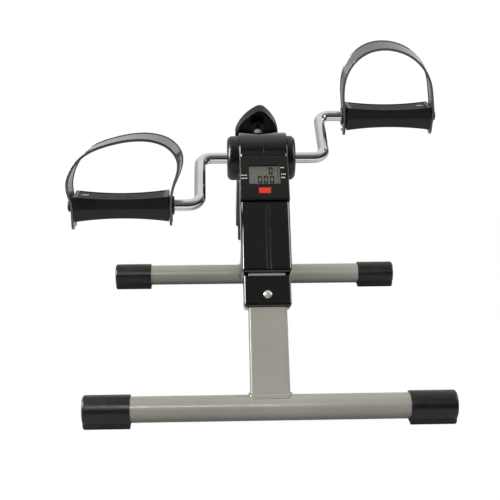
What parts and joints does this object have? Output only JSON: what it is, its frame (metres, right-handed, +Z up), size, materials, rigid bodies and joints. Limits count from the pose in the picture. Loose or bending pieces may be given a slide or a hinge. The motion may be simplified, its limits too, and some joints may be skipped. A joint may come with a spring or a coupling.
{
  "type": "pedal exerciser",
  "caption": "Folding floor pedal exerciser: A-frame on two floor tubes, bent crank with strapped pedals, tension knob and small display.",
  "frame": {"origin": "on the floor, midway between the four feet and under the crank axis", "axes": "+X to the user's right, +Y away from the user, +Z up"},
  "size_m": [0.4278, 0.4312, 0.3566],
  "materials": {
    "leg_paint": "semi-gloss warm grey enamel",
    "black_steel": "satin black enamel",
    "bare_steel": "zinc plated",
    "chrome_rod": "polished",
    "gloss_black": "gloss moulded",
    "satin_black": "satin moulded",
    "rubber_black": "matte",
    "pedal_plastic": "matte moulded",
    "strap_rubber": "satin",
    "bush_nylon": "natural nylon",
    "lcd_glass": "liquid crystal panel",
    "clear_lens": "clear",
    "board_green": "coated board",
    "magnet_dark": "ground",
    "button_red": "satin moulded"
  },
  "bodies": {
    "front_frame": {"front_floor_tube": "leg_paint", "front_leg_tube": "leg_paint", "front_floor_weld": "leg_paint", "head_weld": "black_steel", "bearing_barrel": "bare_steel", "tension_boss": "bare_steel", "hinge_clips": "bare_steel", "crank_bushing_left": "bush_nylon", "crank_bushing_right": "bush_nylon", "front_casing_left": "gloss_black", "front_casing_right": "gloss_black", "front_casing_screws": "bare_steel", "front_collar": "gloss_black", "console_housing": "satin_black", "lcd_lens": "clear_lens", "lcd_display": "lcd_glass", "circuit_board": "board_green", "coin_cell": "bare_steel", "reed_sensor": "pedal_plastic", "sensor_cable": "pedal_plastic", "front_end_cap_left": "rubber_black", "front_end_cap_right": "rubber_black"},
    "rear_frame": {"rear_floor_tube": "leg_paint", "rear_leg_tube": "leg_paint", "rear_floor_weld": "leg_paint", "hinge_fork": "black_steel", "hinge_cover_left": "satin_black", "hinge_cover_right": "satin_black", "rear_casing_left": "gloss_black", "rear_casing_right": "gloss_black", "rear_casing_screws": "bare_steel", "rear_collar": "gloss_black", "rear_end_cap_left": "rubber_black", "rear_end_cap_right": "rubber_black"},
    "crank": {"crank_rod": "chrome_rod", "axle_nuts": "bare_steel", "magnet_ring": "pedal_plastic", "sensor_magnet": "magnet_dark"},
    "left_pedal": {"left_pedal_body": "pedal_plastic", "left_pedal_tread": "rubber_black", "left_pedal_bushes": "bush_nylon", "left_strap_stud": "pedal_plastic", "left_strap": "strap_rubber"},
    "right_pedal": {"right_pedal_body": "pedal_plastic", "right_pedal_tread": "rubber_black", "right_pedal_bushes": "bush_nylon", "right_strap_stud": "pedal_plastic", "right_strap": "strap_rubber"},
    "friction_slider": {"friction_shoe": "bush_nylon"},
    "tension_control": {"tension_knob": "satin_black", "tension_screw": "chrome_rod"},
    "console_button": {"reset_button": "button_red"},
    "front_snap": {"front_snap_button": "bare_steel", "front_snap_spring": "bare_steel"},
    "rear_snap": {"rear_snap_button": "bare_steel", "rear_snap_spring": "bare_steel"}
  },
  "joints": [
    {"name": "crank_spin", "type": "hinge", "parent": "front_frame", "child": "crank", "pos_m": [0, 0, 0.2321], "axis": [1, 0, 0], "continuous": true},
    {"name": "left_pedal_spin", "type": "hinge", "parent": "crank", "child": "left_pedal", "pos_m": [-0.1553, -0.07847, 0.19944], "axis": [1, 0, 0], "continuous": true},
    {"name": "right_pedal_spin", "type": "hinge", "parent": "crank", "child": "right_pedal", "pos_m": [0.1553, 0.07847, 0.26476], "axis": [1, 0, 0], "continuous": true},
    {"name": "leg_fold", "type": "hinge", "parent": "front_frame", "child": "rear_frame", "pos_m": [0, 0, 0.2321], "axis": [-1, 0, 0], "range_deg": [0, 75]},
    {"name": "knob_turn", "type": "hinge", "parent": "friction_slider", "child": "tension_control", "pos_m": [-0.0035, 0, 0.2321], "axis": [0, 0.8829, 0.4695], "range_deg": [-331, 361]},
    {"name": "shoe_slide", "type": "slide", "parent": "front_frame", "child": "friction_slider", "axis": [0, 0.8829, 0.4695], "range_m": [-0.00092, 0.001]},
    {"name": "reset_press", "type": "slide", "parent": "front_frame", "child": "console_button", "axis": [0, 0.7055, -0.7087], "range_m": [0, 0.0008], "stiffness_N_per_m": 60},
    {"name": "front_snap_press", "type": "slide", "parent": "front_frame", "child": "front_snap", "axis": [0, 0.7623, -0.6472], "range_m": [0, 0.0025], "stiffness_N_per_m": 800},
    {"name": "rear_snap_press", "type": "slide", "parent": "rear_frame", "child": "rear_snap", "axis": [0, -0.7623, -0.6472], "range_m": [0, 0.0025], "stiffness_N_per_m": 800}
  ],
  "couplings": [
    {"joint": "knob_turn", "follows": "shoe_slide", "rad_per_m": 6283.2}
  ]
}
